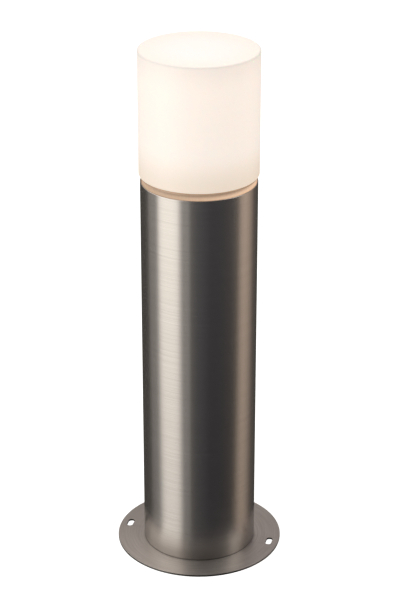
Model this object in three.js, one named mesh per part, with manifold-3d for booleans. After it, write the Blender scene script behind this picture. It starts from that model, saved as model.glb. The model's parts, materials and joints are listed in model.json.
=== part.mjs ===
// Bollard light: a round stainless steel post on a flange plate, with an opal diffuser that
// lifts off a sealed lamp head. Millimetres, +Z up, origin at the centre of the plate's underside.
import * as THREE from "three";
import { mergeVertices } from "three/addons/utils/BufferGeometryUtils.js";
import Module from "manifold-3d";

const wasm = await Module();
wasm.setup();

// ---- Driving dimensions -------------------------------------------------------------------

const HEIGHT = 600;
const GAP = 0.3; // running gap between neighbours that slide or are cut round each other
const PAST = 1; // how far a cutting tool reaches past the face it cuts

const LARGE = 56; // facets of the visible turned parts
const INNER = 40; // facets of turned parts inside the head
const MEDIUM = 24; // facets of the lamp, its holder and small rings
const SMALL = 10; // facets of screws and drilled holes
const WIRE_SIDES = 8;
const GLOBE_STEPS = 7;

const PLATE = { radius: 96, thickness: 2.5, edge: 0.4, cableHole: 30 };
const SLOT = { circle: 85, width: 7, length: 15 };
const TUBE = { radius: 65, wall: 1.5, top: 451, edge: 0.25, clearance: 0.4 };
const FOOT_WELD = { leg: 3 };

const TUBE_BORE = TUBE.radius - TUBE.wall;
const INSIDE_TUBE = TUBE_BORE - TUBE.clearance;
const RING = { inner: 50, bottom: 434, thickness: 3 };
const RING_WELD = { leg: 2.5 };
const SEAL = { thickness: 1.25, inset: 0.75 };

const CASTING = {
  skirt: 62.75,
  ledge: 445,
  neck: 61.5,
  spigot: 62.25,
  inside: 60,
  floor: 3,
  flange: 64.4,
  flangeBottom: 456.75,
  flangeTop: 458.5,
  top: 484,
  edge: 0.5,
};
const NECK_SEAL = { inner: CASTING.neck + GAP, outer: 63 };
const GROOVE = { bottom: 468.5, top: 472, depth: 1.25 };
const HEAD_SCREW = {
  circle: 55.5,
  head: 3.5,
  headHeight: 2.5,
  shank: 2,
  reach: 10.25,
  socket: 1.5,
};
const HEAD_SCREW_ANGLES = [90, 210, 330];
const SOCKET_FLOOR = 0.4; // height of a screw's socket floor, as a share of its head's height

const DIFFUSER = { radius: 66.5, wall: 3, bottom: 460, corner: 1.5 };
const RIM_GASKET = { outer: 64.4, inner: CASTING.spigot + GAP };
const O_RING = { inner: 61.25, radius: 0.95 };

const BOSS = { circle: 50, radius: 4, top: 480, drill: 10 }; // posts that carry the reflector
const BOSS_ANGLES = [30, 150, 270];
const REFLECTOR = { radius: 59.25, hole: 20.5, thickness: 1.25, rim: 4 };
const REFLECTOR_SCREW = { head: 2.75, headHeight: 1.75, shank: 1.5, reach: 9, socket: 1.1 };

const BRACKET = { width: 22, thickness: 1.5, topHalf: 22, footHalf: 41, top: 454, screwAt: 34 };
const BRACKET_SCREW = { head: 3.5, headHeight: 2.25, shank: 2, reach: 3.5, socket: 1.5 };
const DRILL_POINT = 0.25; // a blind hole goes this much deeper than its screw
const HOLDER = {
  radius: 19.5,
  top: 486,
  cavity: 14.75,
  cavityFloor: 463.5,
  edge: 1,
  screwAt: 11,
  leadHole: 1.5,
};
const HOLDER_SCREW = { head: 2.75, headHeight: 1.5, shank: 1.5, reach: 8, socket: 1.1 };
const SHELL = { outer: 14.3, inner: 13.6, bottom: 464, top: 484, flangeHole: 7, flange: 0.7 };
// The contact strip folds back on itself and its upper leaf rises to the lamp's tip. [y, z].
const CONTACT_STRIP = {
  width: 5,
  outline: [
    [-5.5, 0],
    [4.5, 0],
    [4.5, 0.5],
    [-4.6, 0.5],
    [-4.3, 0.8],
    [0, 2.1],
    [2.5, 2.1],
    [2.5, 2.6],
    [-0.2, 2.6],
    [-5.5, 1.1],
  ],
  lift: 0.25,
};
const LEAD_ENTRY = { x: 13, z: 459, liveY: 7, neutralY: -3 }; // where leads end in the holder

const TIP = { bottom: 466.75, flat: 2.75, radius: 4.6, shoulder: 467.5, top: 468.25 };
const CAP = {
  bottom: 472.25,
  top: 491,
  radius: 13.1,
  wall: 0.5,
  mouth: 8.4,
  lip: 0.4,
  chamfer: 1.2,
};
const INSULATOR = {
  neck: 5.5,
  throat: 8,
  plug: CAP.radius - 1.1,
  throatTop: 1,
  plugBottom: 1.5,
  plugTop: 5,
};
const HOUSING = { top: 522, wall: 1.8, hole: CAP.radius - 4, collar: 0.6, waist: 1.2, flare: 3.5 };
const HOUSING_STEPS = { waist: 6, flare: 21, floor: 2, inside: 0.5 }; // heights above the cap
const GLOBE = { radius: 30, centre: 540.5, wall: 1 };
const LED_BOARD = { hole: 2, inset: 4.5, drop: 4, thickness: 1.5 };

const GLAND = {
  x: -35,
  thread: 9.75,
  lower: 8.75,
  bore: 5,
  hex: 12.5,
  collar: 5,
  above: 6,
  below: 14,
  locknut: 4,
};
const DOME_NUT = { radius: 11.5, bottom: 414, mouth: 7.5, round: 4, lip: 1, gap: 0.5 };
const GLAND_SEAL = { bore: 4.5, lift: 4.5 };
const BLOCK = { near: 34, far: 50, half: 15, height: 14.75, pole: 10, poleHeight: 7.25 };
const INSERT = { radius: 2.3, bore: 1.4, inset: 2 };
const BLOCK_HOLE = INSERT.radius + GAP;
const TERMINAL_SCREW = {
  radius: 1.3,
  fromEnd: 3,
  bottom: 0.75,
  top: 7,
  slotHalf: 0.3,
  slotDepth: 1,
};
const FIXING_SCREW = {
  head: 2.75,
  headHeight: 1.75,
  shank: 1.5,
  y: 5,
  reach: 16.5,
  socket: 1.1,
};
const EARTH = { x: 26, y: -34, boss: 6, bossHeight: 3 };
const LUG = {
  eye: 4.5,
  thickness: 1,
  tailHalf: 1.5,
  tail: 10,
  barrelAt: 8.5,
  barrel: 5,
  barrelWall: 0.6,
};
const WASHER = { overlap: 0.5, thickness: 1 };
const EARTH_SCREW = { head: 3.8, headHeight: 2.5, shank: 2, reach: 5.5, socket: 1.5 };
const WIRE = { radius: 1.1, steps: 10 };

const PLATE_TOP = PLATE.thickness;
const RING_TOP = RING.bottom + RING.thickness;
const CASTING_BOTTOM = RING_TOP + SEAL.thickness;
const FLOOR_TOP = CASTING_BOTTOM + CASTING.floor;
const BLIND_BOTTOM = CASTING_BOTTOM + 1; // blind holes in the floor stop here
const LUG_Z = FLOOR_TOP + EARTH.bossHeight;
const POLE_Z = FLOOR_TOP + BLOCK.poleHeight;
const BLOCK_MIDDLE = (BLOCK.near + BLOCK.far) / 2;
const POLES = [BLOCK.pole, 0, -BLOCK.pole];
const INSERT_NEAR = BLOCK.near + INSERT.inset;
const INSERT_FAR = BLOCK.far - INSERT.inset;
const SCREW_COLUMNS = [INSERT_NEAR + TERMINAL_SCREW.fromEnd, INSERT_FAR - TERMINAL_SCREW.fromEnd];
const LEAD_START_X = INSERT_NEAR - GAP;
const WASHER_Z = LUG_Z + LUG.thickness;
const EARTH_HEAD_Z = WASHER_Z + WASHER.thickness;
// The globe is a sphere cut off where it meets the housing's mouth.
const GLOBE_MOUTH = Math.asin((HOUSING.top - GLOBE.centre) / GLOBE.radius);
const GLOBE_MOUTH_RADIUS = GLOBE.radius * Math.cos(GLOBE_MOUTH);

// ---- Materials ----------------------------------------------------------------------------

const material = (color, roughness, metalness) =>
  new THREE.MeshStandardMaterial({ color, roughness, metalness });

const BRUSHED_TUBE = material(0xb9b2a9, 0.28, 1);
const SATIN_PLATE = material(0x9d9389, 0.4, 1);
const ZINC_STEEL = material(0xb4b6b8, 0.35, 1);
const WELD_METAL = material(0x8a857f, 0.5, 1);
const CAST_ALUMINIUM = material(0xb8a898, 0.42, 1);
const OPAL = material(0xfbf6ee, 0.35, 0);
const WHITE_ENAMEL = material(0xf1f1ee, 0.4, 0);
const PORCELAIN = material(0xeeebe2, 0.2, 0);
const WHITE_PLASTIC = material(0xe9e9e6, 0.45, 0);
const GREY_PLASTIC = material(0x6a6d70, 0.5, 0);
const CLEAR_GREY_PLASTIC = material(0xd2d0c8, 0.4, 0);
const BLACK_GLASS = material(0x141414, 0.2, 0);
const NICKEL = material(0xc4c1b8, 0.25, 1);
const BRASS = material(0xc09a4f, 0.3, 1);
const SILICONE = material(0xc7a888, 0.6, 0);
const RUBBER = material(0x1b1b1b, 0.7, 0);
const BOARD = material(0xdedfdb, 0.5, 0);
const BROWN_WIRE = material(0x5a3320, 0.5, 0);
const BLUE_WIRE = material(0x2a4f9c, 0.5, 0);
const GREEN_WIRE = material(0x4c9a3c, 0.5, 0);

// ---- Shape helpers ------------------------------------------------------------------------

const part = new THREE.Group();

function addPiece(name, geometry, look, parent = part) {
  const mesh = new THREE.Mesh(geometry, look);
  mesh.name = name;
  parent.add(mesh);
  return mesh;
}

// A place on a circle about the axis, at a height.
function polar(radius, degrees, z) {
  const angle = THREE.MathUtils.degToRad(degrees);
  return new THREE.Vector3(radius * Math.cos(angle), radius * Math.sin(angle), z);
}

// A solid of revolution about +Z from [radius, height] pairs that run anticlockwise.
function turned(profile, facets) {
  const points = profile.map(([radius, height]) => new THREE.Vector2(radius, height));
  return new THREE.LatheGeometry(points, facets).rotateX(Math.PI / 2);
}

// A turned ring with a plain rectangular section.
function ring(inner, outer, bottom, top, facets) {
  const profile = [[inner, bottom], [outer, bottom], [outer, top], [inner, top], [inner, bottom]];
  return turned(profile, facets);
}

// Points of a quarter round from one angle to another, in degrees, in a turned profile.
function round(centreRadius, centreHeight, radius, from, to, steps) {
  return Array.from({ length: steps + 1 }, (_, i) => {
    const angle = THREE.MathUtils.degToRad(from + ((to - from) * i) / steps);
    return [centreRadius + radius * Math.cos(angle), centreHeight + radius * Math.sin(angle)];
  });
}

// An upright cylinder or prism from a bottom height to a top height.
function post(radius, bottom, top, facets, x = 0, y = 0) {
  const shape = new THREE.CylinderGeometry(radius, radius, top - bottom, facets);
  return shape.rotateX(Math.PI / 2).translate(x, y, (bottom + top) / 2);
}

// A cylinder that lies along X.
function bar(radius, fromX, toX, facets, y, z) {
  const shape = new THREE.CylinderGeometry(radius, radius, toX - fromX, facets);
  return shape.rotateZ(Math.PI / 2).translate((fromX + toX) / 2, y, z);
}

function block(fromX, toX, fromY, toY, bottom, top) {
  const shape = new THREE.BoxGeometry(toX - fromX, toY - fromY, top - bottom);
  return shape.translate((fromX + toX) / 2, (fromY + toY) / 2, (bottom + top) / 2);
}

// A flat shape drawn in the YZ plane and extruded along X about the middle.
function extrudedAlongX(outline, width) {
  const shape = new THREE.Shape(outline.map(([y, z]) => new THREE.Vector2(y, z)));
  const solid = new THREE.ExtrudeGeometry(shape, { depth: width, bevelEnabled: false });
  return solid
    .translate(0, 0, -width / 2)
    .rotateX(Math.PI / 2)
    .rotateZ(Math.PI / 2);
}

function toSolid(geometry) {
  const bare = geometry.index ? geometry.toNonIndexed() : geometry.clone();
  bare.deleteAttribute("normal");
  bare.deleteAttribute("uv");
  const merged = mergeVertices(bare, 1e-4);
  const triVerts = new Uint32Array(merged.index.array);
  const vertProperties = merged.attributes.position.array;
  return new wasm.Manifold(new wasm.Mesh({ numProp: 3, vertProperties, triVerts }));
}

function toGeometry(solid) {
  const { vertProperties, triVerts } = solid.getMesh();
  const geometry = new THREE.BufferGeometry();
  geometry.setAttribute("position", new THREE.BufferAttribute(vertProperties, 3));
  geometry.setIndex(new THREE.BufferAttribute(triVerts, 1));
  geometry.computeVertexNormals();
  return geometry;
}

function join(...shapes) {
  return toGeometry(shapes.map(toSolid).reduce((whole, next) => whole.add(next)));
}

function cut(shape, ...tools) {
  return toGeometry(tools.map(toSolid).reduce((rest, tool) => rest.subtract(tool), toSolid(shape)));
}

// A pan-head screw that points down, with its head's underside at z = 0.
function screw({ head, headHeight, shank, reach, socket }) {
  const profile = [
    [0, -reach],
    [shank, -reach],
    [shank, 0],
    [head, 0],
    ...round(head - headHeight / 2, headHeight / 2, headHeight / 2, 0, 90, 2),
    [0, headHeight],
  ];
  const recess = post(socket, headHeight * SOCKET_FLOOR, headHeight + PAST, 6);
  return cut(turned(profile, SMALL), recess);
}

function addScrew(name, size, place, look = ZINC_STEEL) {
  addPiece(name, screw(size), look).position.copy(place);
}

// ---- Base: flange plate, post and foot weld ------------------------------------------------

function basePlate() {
  const { radius, thickness, edge, cableHole } = PLATE;
  const disc = turned(
    [
      [0, 0],
      [radius - edge, 0],
      [radius, edge],
      [radius, thickness - edge],
      [radius - edge, thickness],
      [0, thickness],
    ],
    LARGE,
  );
  const half = (SLOT.length - SLOT.width) / 2;
  const slotTools = [-1, 1].flatMap((side) => {
    const x = side * SLOT.circle;
    return [
      block(x - SLOT.width / 2, x + SLOT.width / 2, -half, half, -PAST, thickness + PAST),
      post(SLOT.width / 2, -PAST, thickness + PAST, MEDIUM, x, half),
      post(SLOT.width / 2, -PAST, thickness + PAST, MEDIUM, x, -half),
    ];
  });
  return cut(disc, post(cableHole, -PAST, thickness + PAST, MEDIUM), ...slotTools);
}

function poleTube() {
  const { radius, top, edge } = TUBE;
  return turned(
    [
      [TUBE_BORE, PLATE_TOP],
      [radius, PLATE_TOP],
      [radius, top - edge],
      [radius - edge, top],
      [TUBE_BORE, top],
      [TUBE_BORE, PLATE_TOP],
    ],
    LARGE,
  );
}

// A fillet of weld metal in the corner under or over a flat plate, inside the tube.
function fillet(height, leg, direction, facets) {
  const outer = INSIDE_TUBE;
  const profile = [
    [outer, height],
    [outer, height + direction * leg],
    [outer - leg, height],
  ];
  if (direction < 0) profile.reverse();
  return turned([...profile, profile[0]], facets);
}

addPiece("base_plate", basePlate(), SATIN_PLATE);
addPiece("pole_tube", poleTube(), BRUSHED_TUBE);
addPiece("foot_weld", fillet(PLATE_TOP, FOOT_WELD.leg, 1, MEDIUM), WELD_METAL);

// ---- Head: support ring, seal, casting and its screws --------------------------------------

function supportRing() {
  const plain = ring(RING.inner, INSIDE_TUBE, RING.bottom, RING_TOP, INNER);
  const holes = HEAD_SCREW_ANGLES.map((angle) => {
    const at = polar(HEAD_SCREW.circle, angle, 0);
    return post(HEAD_SCREW.shank + GAP, RING.bottom - PAST, RING_TOP + PAST, SMALL, at.x, at.y);
  });
  return cut(plain, ...holes);
}

function castingSeal() {
  const plain = ring(RING.inner, CASTING.skirt - SEAL.inset, RING_TOP, CASTING_BOTTOM, MEDIUM);
  const bottom = RING_TOP - PAST;
  const top = CASTING_BOTTOM + PAST;
  const holes = HEAD_SCREW_ANGLES.map((angle) => {
    const at = polar(HEAD_SCREW.circle, angle, 0);
    return post(HEAD_SCREW.shank + GAP, bottom, top, SMALL, at.x, at.y);
  });
  return cut(plain, ...holes);
}

function headCasting() {
  const { skirt, ledge, neck, spigot, inside, top, edge } = CASTING;
  const { flange, flangeBottom, flangeTop } = CASTING;
  const groove = spigot - GROOVE.depth;
  const cup = turned(
    [
      [0, CASTING_BOTTOM],
      [skirt - edge, CASTING_BOTTOM],
      [skirt, CASTING_BOTTOM + edge],
      [skirt, ledge],
      [neck, ledge],
      [neck, flangeBottom],
      [flange, flangeBottom],
      [flange, flangeTop],
      [spigot, flangeTop],
      [spigot, GROOVE.bottom],
      [groove, GROOVE.bottom],
      [groove, GROOVE.top],
      [spigot, GROOVE.top],
      [spigot, top - edge],
      [spigot - edge, top],
      [inside, top],
      [inside, FLOOR_TOP],
      [0, FLOOR_TOP],
    ],
    INNER,
  );
  const bosses = BOSS_ANGLES.map((angle) => {
    const at = polar(BOSS.circle, angle, 0);
    return post(BOSS.radius, FLOOR_TOP - PAST, BOSS.top, SMALL, at.x, at.y);
  });
  const earthBoss = post(EARTH.boss, FLOOR_TOP - PAST, LUG_Z, SMALL, EARTH.x, EARTH.y);
  const below = CASTING_BOTTOM - PAST;
  const above = FLOOR_TOP + PAST;
  const drills = [
    ...BOSS_ANGLES.map((angle) => {
      const at = polar(BOSS.circle, angle, 0);
      const drill = REFLECTOR_SCREW.shank + GAP;
      return post(drill, BOSS.top - BOSS.drill, BOSS.top + PAST, SMALL, at.x, at.y);
    }),
    ...HEAD_SCREW_ANGLES.map((angle) => {
      const at = polar(HEAD_SCREW.circle, angle, 0);
      return post(HEAD_SCREW.shank + GAP, below, above, SMALL, at.x, at.y);
    }),
    ...[-1, 1].map((side) => {
      const y = side * BRACKET.screwAt;
      const bottom = FLOOR_TOP + BRACKET.thickness - BRACKET_SCREW.reach - DRILL_POINT;
      return post(BRACKET_SCREW.shank + GAP, bottom, above, SMALL, 0, y);
    }),
    post(GLAND.thread + GAP, below, above, MEDIUM, GLAND.x, 0),
    post(EARTH_SCREW.shank + GAP, BLIND_BOTTOM, LUG_Z + PAST, SMALL, EARTH.x, EARTH.y),
    post(FIXING_SCREW.shank + GAP, BLIND_BOTTOM, above, SMALL, BLOCK_MIDDLE, FIXING_SCREW.y),
  ];
  return cut(join(cup, ...bosses, earthBoss), ...drills);
}

addPiece("support_ring", supportRing(), ZINC_STEEL);
addPiece("ring_weld", fillet(RING.bottom, RING_WELD.leg, -1, MEDIUM), WELD_METAL);
addPiece("casting_seal", castingSeal(), RUBBER);
addPiece(
  "neck_seal",
  ring(NECK_SEAL.inner, NECK_SEAL.outer, CASTING.ledge, CASTING.flangeBottom, LARGE),
  SILICONE,
);
addPiece("head_casting", headCasting(), CAST_ALUMINIUM);
HEAD_SCREW_ANGLES.forEach((angle, i) => {
  addScrew(`head_screw_${i + 1}`, HEAD_SCREW, polar(HEAD_SCREW.circle, angle, FLOOR_TOP));
});

// ---- Diffuser and its seals ----------------------------------------------------------------

function diffuser() {
  const { radius, wall, bottom, corner } = DIFFUSER;
  const bore = radius - wall;
  return turned(
    [
      [0, HEIGHT - wall],
      ...round(bore - corner, HEIGHT - wall - corner, corner, 90, 0, 2),
      [bore, bottom],
      [radius, bottom],
      ...round(radius - corner, HEIGHT - corner, corner, 0, 90, 3),
      [0, HEIGHT],
    ],
    LARGE,
  );
}

// The O-ring's round section, turned about the axis.
function oRing() {
  const height = (GROOVE.bottom + GROOVE.top) / 2;
  return turned(round(O_RING.inner + O_RING.radius, height, O_RING.radius, 0, 360, 6), INNER);
}

addPiece("diffuser", diffuser(), OPAL);
addPiece(
  "rim_gasket",
  ring(RIM_GASKET.inner, RIM_GASKET.outer, CASTING.flangeTop, DIFFUSER.bottom, INNER),
  SILICONE,
);
addPiece("spigot_o_ring", oRing(), RUBBER);

// ---- Reflector plate over the wiring space -------------------------------------------------

function reflectorPlate() {
  const { radius, hole, thickness, rim } = REFLECTOR;
  const plate = turned(
    [
      [hole, BOSS.top],
      [radius, BOSS.top],
      [radius, BOSS.top + rim],
      [radius - thickness, BOSS.top + rim],
      [radius - thickness, BOSS.top + thickness],
      [hole, BOSS.top + thickness],
      [hole, BOSS.top],
    ],
    INNER,
  );
  const holes = BOSS_ANGLES.map((angle) => {
    const at = polar(BOSS.circle, angle, 0);
    const drill = REFLECTOR_SCREW.shank + GAP;
    return post(drill, BOSS.top - PAST, BOSS.top + rim, SMALL, at.x, at.y);
  });
  return cut(plate, ...holes);
}

addPiece("reflector_plate", reflectorPlate(), WHITE_ENAMEL);
BOSS_ANGLES.forEach((angle, i) => {
  const place = polar(BOSS.circle, angle, BOSS.top + REFLECTOR.thickness);
  addScrew(`reflector_screw_${i + 1}`, REFLECTOR_SCREW, place);
});

// ---- Lampholder on its bracket -------------------------------------------------------------

function holderBracket() {
  const { width, thickness, topHalf, footHalf, top, screwAt } = BRACKET;
  const hat = extrudedAlongX(
    [
      [-footHalf, FLOOR_TOP],
      [-topHalf, FLOOR_TOP],
      [-topHalf, top - thickness],
      [topHalf, top - thickness],
      [topHalf, FLOOR_TOP],
      [footHalf, FLOOR_TOP],
      [footHalf, FLOOR_TOP + thickness],
      [topHalf + thickness, FLOOR_TOP + thickness],
      [topHalf + thickness, top],
      [-topHalf - thickness, top],
      [-topHalf - thickness, FLOOR_TOP + thickness],
      [-footHalf, FLOOR_TOP + thickness],
    ],
    width,
  );
  const footTop = FLOOR_TOP + thickness + PAST;
  const underside = top - thickness - PAST;
  const holes = [-1, 1].flatMap((side) => [
    post(BRACKET_SCREW.shank + GAP, FLOOR_TOP - PAST, footTop, SMALL, 0, side * screwAt),
    post(HOLDER_SCREW.shank + GAP, underside, top + PAST, SMALL, 0, side * HOLDER.screwAt),
  ]);
  return cut(hat, ...holes);
}

function lampholderBody() {
  const { radius, top, cavity, cavityFloor, edge, leadHole } = HOLDER;
  const cup = turned(
    [
      [0, BRACKET.top],
      [radius - edge, BRACKET.top],
      [radius, BRACKET.top + edge],
      [radius, top - edge],
      [radius - edge, top],
      [cavity, top],
      [cavity, cavityFloor],
      [0, cavityFloor],
    ],
    MEDIUM,
  );
  const drills = [
    ...[-1, 1].map((side) => {
      const y = side * HOLDER.screwAt;
      const drillTop = BRACKET.top + HOLDER_SCREW.reach;
      return post(HOLDER_SCREW.shank + GAP, BRACKET.top - PAST, drillTop, SMALL, 0, y);
    }),
    ...[LEAD_ENTRY.liveY, LEAD_ENTRY.neutralY].map((y) =>
      bar(leadHole, LEAD_ENTRY.x - PAST, radius + PAST, SMALL, y, LEAD_ENTRY.z),
    ),
  ];
  return cut(cup, ...drills);
}

function lampholderShell() {
  const { outer, inner, bottom, top, flangeHole, flange } = SHELL;
  return turned(
    [
      [flangeHole, bottom],
      [outer, bottom],
      [outer, top],
      [inner, top],
      [inner, bottom + flange],
      [flangeHole, bottom + flange],
      [flangeHole, bottom],
    ],
    MEDIUM,
  );
}

function lampholderContact() {
  const { outline, width, lift } = CONTACT_STRIP;
  return extrudedAlongX(outline, width).translate(0, 0, HOLDER.cavityFloor + lift);
}

addPiece("lampholder_bracket", holderBracket(), ZINC_STEEL);
addPiece("lampholder_body", lampholderBody(), PORCELAIN);
addPiece("lampholder_shell", lampholderShell(), NICKEL);
addPiece("lampholder_contact", lampholderContact(), BRASS);
[-1, 1].forEach((side, i) => {
  const foot = new THREE.Vector3(0, side * BRACKET.screwAt, FLOOR_TOP + BRACKET.thickness);
  addScrew(`bracket_screw_${i + 1}`, BRACKET_SCREW, foot);
  const underside = BRACKET.top - BRACKET.thickness - GAP;
  const upwards = addPiece(`holder_screw_${i + 1}`, screw(HOLDER_SCREW), ZINC_STEEL);
  upwards.position.set(0, side * HOLDER.screwAt, underside);
  upwards.rotation.x = Math.PI;
});

// ---- Lamp with a screw cap -----------------------------------------------------------------

function lampContact() {
  const { bottom, flat, radius, shoulder, top } = TIP;
  return turned(
    [
      [0, bottom],
      [flat, bottom],
      [radius, shoulder],
      [radius, top],
      [0, top],
    ],
    SMALL,
  );
}

function lampInsulator() {
  const { neck, throat, plug, throatTop, plugBottom, plugTop } = INSULATOR;
  return turned(
    [
      [0, TIP.top],
      [neck, TIP.top],
      [throat, CAP.bottom - GAP],
      [throat, CAP.bottom + throatTop],
      [plug, CAP.bottom + plugBottom],
      [plug, CAP.bottom + plugTop],
      [0, CAP.bottom + plugTop],
    ],
    MEDIUM,
  );
}

function lampCap() {
  const { bottom, top, radius, wall, mouth, lip, chamfer } = CAP;
  return turned(
    [
      [mouth, bottom],
      [radius - chamfer, bottom],
      [radius, bottom + chamfer + GAP],
      [radius, top],
      [radius - wall, top],
      [radius - wall, bottom + chamfer],
      [mouth, bottom + lip],
      [mouth, bottom],
    ],
    MEDIUM,
  );
}

function lampHousing() {
  const { top, wall, hole, collar, waist, flare } = HOUSING;
  const mouth = GLOBE_MOUTH_RADIUS;
  const waistRadius = CAP.radius + waist;
  const flareRadius = mouth - flare;
  const waistZ = CAP.top + HOUSING_STEPS.waist;
  const flareZ = CAP.top + HOUSING_STEPS.flare;
  return turned(
    [
      [hole, CAP.top],
      [CAP.radius + collar, CAP.top],
      [waistRadius, waistZ],
      [flareRadius, flareZ],
      [mouth, top],
      [mouth - wall, top],
      [flareRadius - wall, flareZ + HOUSING_STEPS.inside],
      [waistRadius - wall, waistZ + HOUSING_STEPS.inside],
      [hole, CAP.top + HOUSING_STEPS.floor],
      [hole, CAP.top],
    ],
    MEDIUM,
  );
}

function lampGlobe() {
  const { centre, radius, wall } = GLOBE;
  const from = THREE.MathUtils.radToDeg(GLOBE_MOUTH);
  const inner = round(0, centre, radius - wall, 90, from, GLOBE_STEPS);
  const outer = round(0, centre, radius, from, 90, GLOBE_STEPS);
  return turned(closeOnAxis([...inner, ...outer]), MEDIUM);
}

// The first and last points of a profile are put exactly on the axis.
function closeOnAxis(profile) {
  const last = profile.length - 1;
  return profile.map(([radius, height], i) => [i === 0 || i === last ? 0 : radius, height]);
}

function ledBoard() {
  const { hole, inset, drop, thickness } = LED_BOARD;
  const bottom = HOUSING.top - drop;
  return ring(hole, GLOBE_MOUTH_RADIUS - inset, bottom, bottom + thickness, MEDIUM);
}

addPiece("lamp_contact", lampContact(), NICKEL);
addPiece("lamp_insulator", lampInsulator(), BLACK_GLASS);
addPiece("lamp_cap", lampCap(), NICKEL);
addPiece("lamp_housing", lampHousing(), WHITE_PLASTIC);
addPiece("lamp_led_board", ledBoard(), BOARD);
addPiece("lamp_globe", lampGlobe(), OPAL);

// ---- Cable gland through the casting's floor -----------------------------------------------

function glandBody() {
  const { thread, lower, bore, hex, collar, above, below } = GLAND;
  const bottom = CASTING_BOTTOM - below;
  const top = FLOOR_TOP + above;
  const solid = join(
    post(hex, CASTING_BOTTOM - collar, CASTING_BOTTOM, 6),
    post(thread, CASTING_BOTTOM - PAST, top, MEDIUM),
    post(lower, bottom, CASTING_BOTTOM - collar + PAST, MEDIUM),
  );
  return cut(solid, post(bore, bottom - PAST, top + PAST, SMALL));
}

function glandLocknut() {
  const top = FLOOR_TOP + GLAND.locknut;
  const hole = post(GLAND.thread + GAP, FLOOR_TOP - PAST, top + PAST, MEDIUM);
  return cut(post(GLAND.hex, FLOOR_TOP, top, 6), hole);
}

function glandDomeNut() {
  const { radius, bottom, mouth, lip, gap } = DOME_NUT;
  const { bore } = GLAND;
  const top = CASTING_BOTTOM - GLAND.collar - gap;
  const shoulder = bottom + DOME_NUT.round;
  const inner = GLAND.lower + GAP;
  return turned(
    [
      [bore, bottom],
      [mouth, bottom],
      ...round(mouth, shoulder, radius - mouth, -60, 0, 2),
      [radius, top],
      [inner, top],
      [inner, shoulder],
      [bore, bottom + lip],
      [bore, bottom],
    ],
    SMALL * 2,
  );
}

function glandSeal() {
  const bottom = DOME_NUT.bottom + GLAND_SEAL.lift;
  const top = CASTING_BOTTOM - GLAND.below - GAP;
  return ring(GLAND_SEAL.bore, GLAND.lower - GAP, bottom, top, SMALL);
}

const gland = new THREE.Group();
gland.position.x = GLAND.x;
part.add(gland);
addPiece("gland_body", glandBody(), GREY_PLASTIC, gland);
addPiece("gland_locknut", glandLocknut(), GREY_PLASTIC, gland);
addPiece("gland_dome_nut", glandDomeNut(), GREY_PLASTIC, gland);
addPiece("gland_seal", glandSeal(), RUBBER, gland);

// ---- Terminal block ------------------------------------------------------------------------

function terminalBlock() {
  const { near, far, half, height } = BLOCK;
  const top = FLOOR_TOP + height;
  const body = block(near, far, -half, half, FLOOR_TOP, top);
  const tools = POLES.flatMap((y) => [
    bar(BLOCK_HOLE, near - PAST, far + PAST, SMALL, y, POLE_Z),
    ...SCREW_COLUMNS.map((x) => post(TERMINAL_SCREW.radius + GAP, POLE_Z, top + PAST, SMALL, x, y)),
  ]);
  const drill = FIXING_SCREW.shank + GAP;
  const fixing = post(drill, FLOOR_TOP - PAST, top + PAST, SMALL, BLOCK_MIDDLE, FIXING_SCREW.y);
  return cut(body, ...tools, fixing);
}

function terminalInsert(y) {
  const top = POLE_Z + INSERT.radius + PAST;
  const tools = SCREW_COLUMNS.map((x) =>
    post(TERMINAL_SCREW.radius + GAP, POLE_Z, top, SMALL, x, y),
  );
  const bore = bar(INSERT.bore, INSERT_NEAR - PAST, INSERT_FAR + PAST, SMALL, y, POLE_Z);
  return cut(bar(INSERT.radius, INSERT_NEAR, INSERT_FAR, SMALL, y, POLE_Z), bore, ...tools);
}

function terminalScrew(x, y) {
  const { radius, bottom, slotHalf, slotDepth } = TERMINAL_SCREW;
  const top = POLE_Z + TERMINAL_SCREW.top;
  const stud = post(radius, POLE_Z + bottom, top, SMALL, x, y);
  const slotBottom = top - slotDepth;
  const slot = block(x - radius, x + radius, y - slotHalf, y + slotHalf, slotBottom, top + PAST);
  return cut(stud, slot);
}

addPiece("terminal_block", terminalBlock(), CLEAR_GREY_PLASTIC);
POLES.forEach((y, i) => {
  addPiece(`terminal_insert_${i + 1}`, terminalInsert(y), BRASS);
  SCREW_COLUMNS.forEach((x, j) => {
    addPiece(`terminal_screw_${2 * i + j + 1}`, terminalScrew(x, y), ZINC_STEEL);
  });
});
addScrew(
  "terminal_fixing_screw",
  FIXING_SCREW,
  new THREE.Vector3(BLOCK_MIDDLE, FIXING_SCREW.y, FLOOR_TOP + BLOCK.height),
);

// ---- Earth terminal on the casting ---------------------------------------------------------

function earthLug() {
  const { x, y } = EARTH;
  const { eye, thickness, tailHalf, tail, barrelAt, barrel, barrelWall } = LUG;
  const top = LUG_Z + thickness;
  const bore = WIRE.radius + GAP;
  const barrelRadius = bore + barrelWall;
  const lyingAlongY = (radius, length) =>
    new THREE.CylinderGeometry(radius, radius, length, SMALL).translate(
      x,
      y + barrelAt,
      LUG_Z + barrelRadius,
    );
  const solid = join(
    post(eye, LUG_Z, top, SMALL, x, y),
    block(x - tailHalf, x + tailHalf, y, y + tail, LUG_Z, top),
    lyingAlongY(barrelRadius, barrel),
  );
  const hole = post(EARTH_SCREW.shank + GAP, LUG_Z - PAST, top + PAST, SMALL, x, y);
  return cut(solid, lyingAlongY(bore, barrel + PAST), hole);
}

function earthWasher() {
  const outer = EARTH_SCREW.head + WASHER.overlap;
  const top = WASHER_Z + WASHER.thickness;
  const washer = ring(EARTH_SCREW.shank + GAP, outer, WASHER_Z, top, SMALL);
  return washer.translate(EARTH.x, EARTH.y, 0);
}

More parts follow.
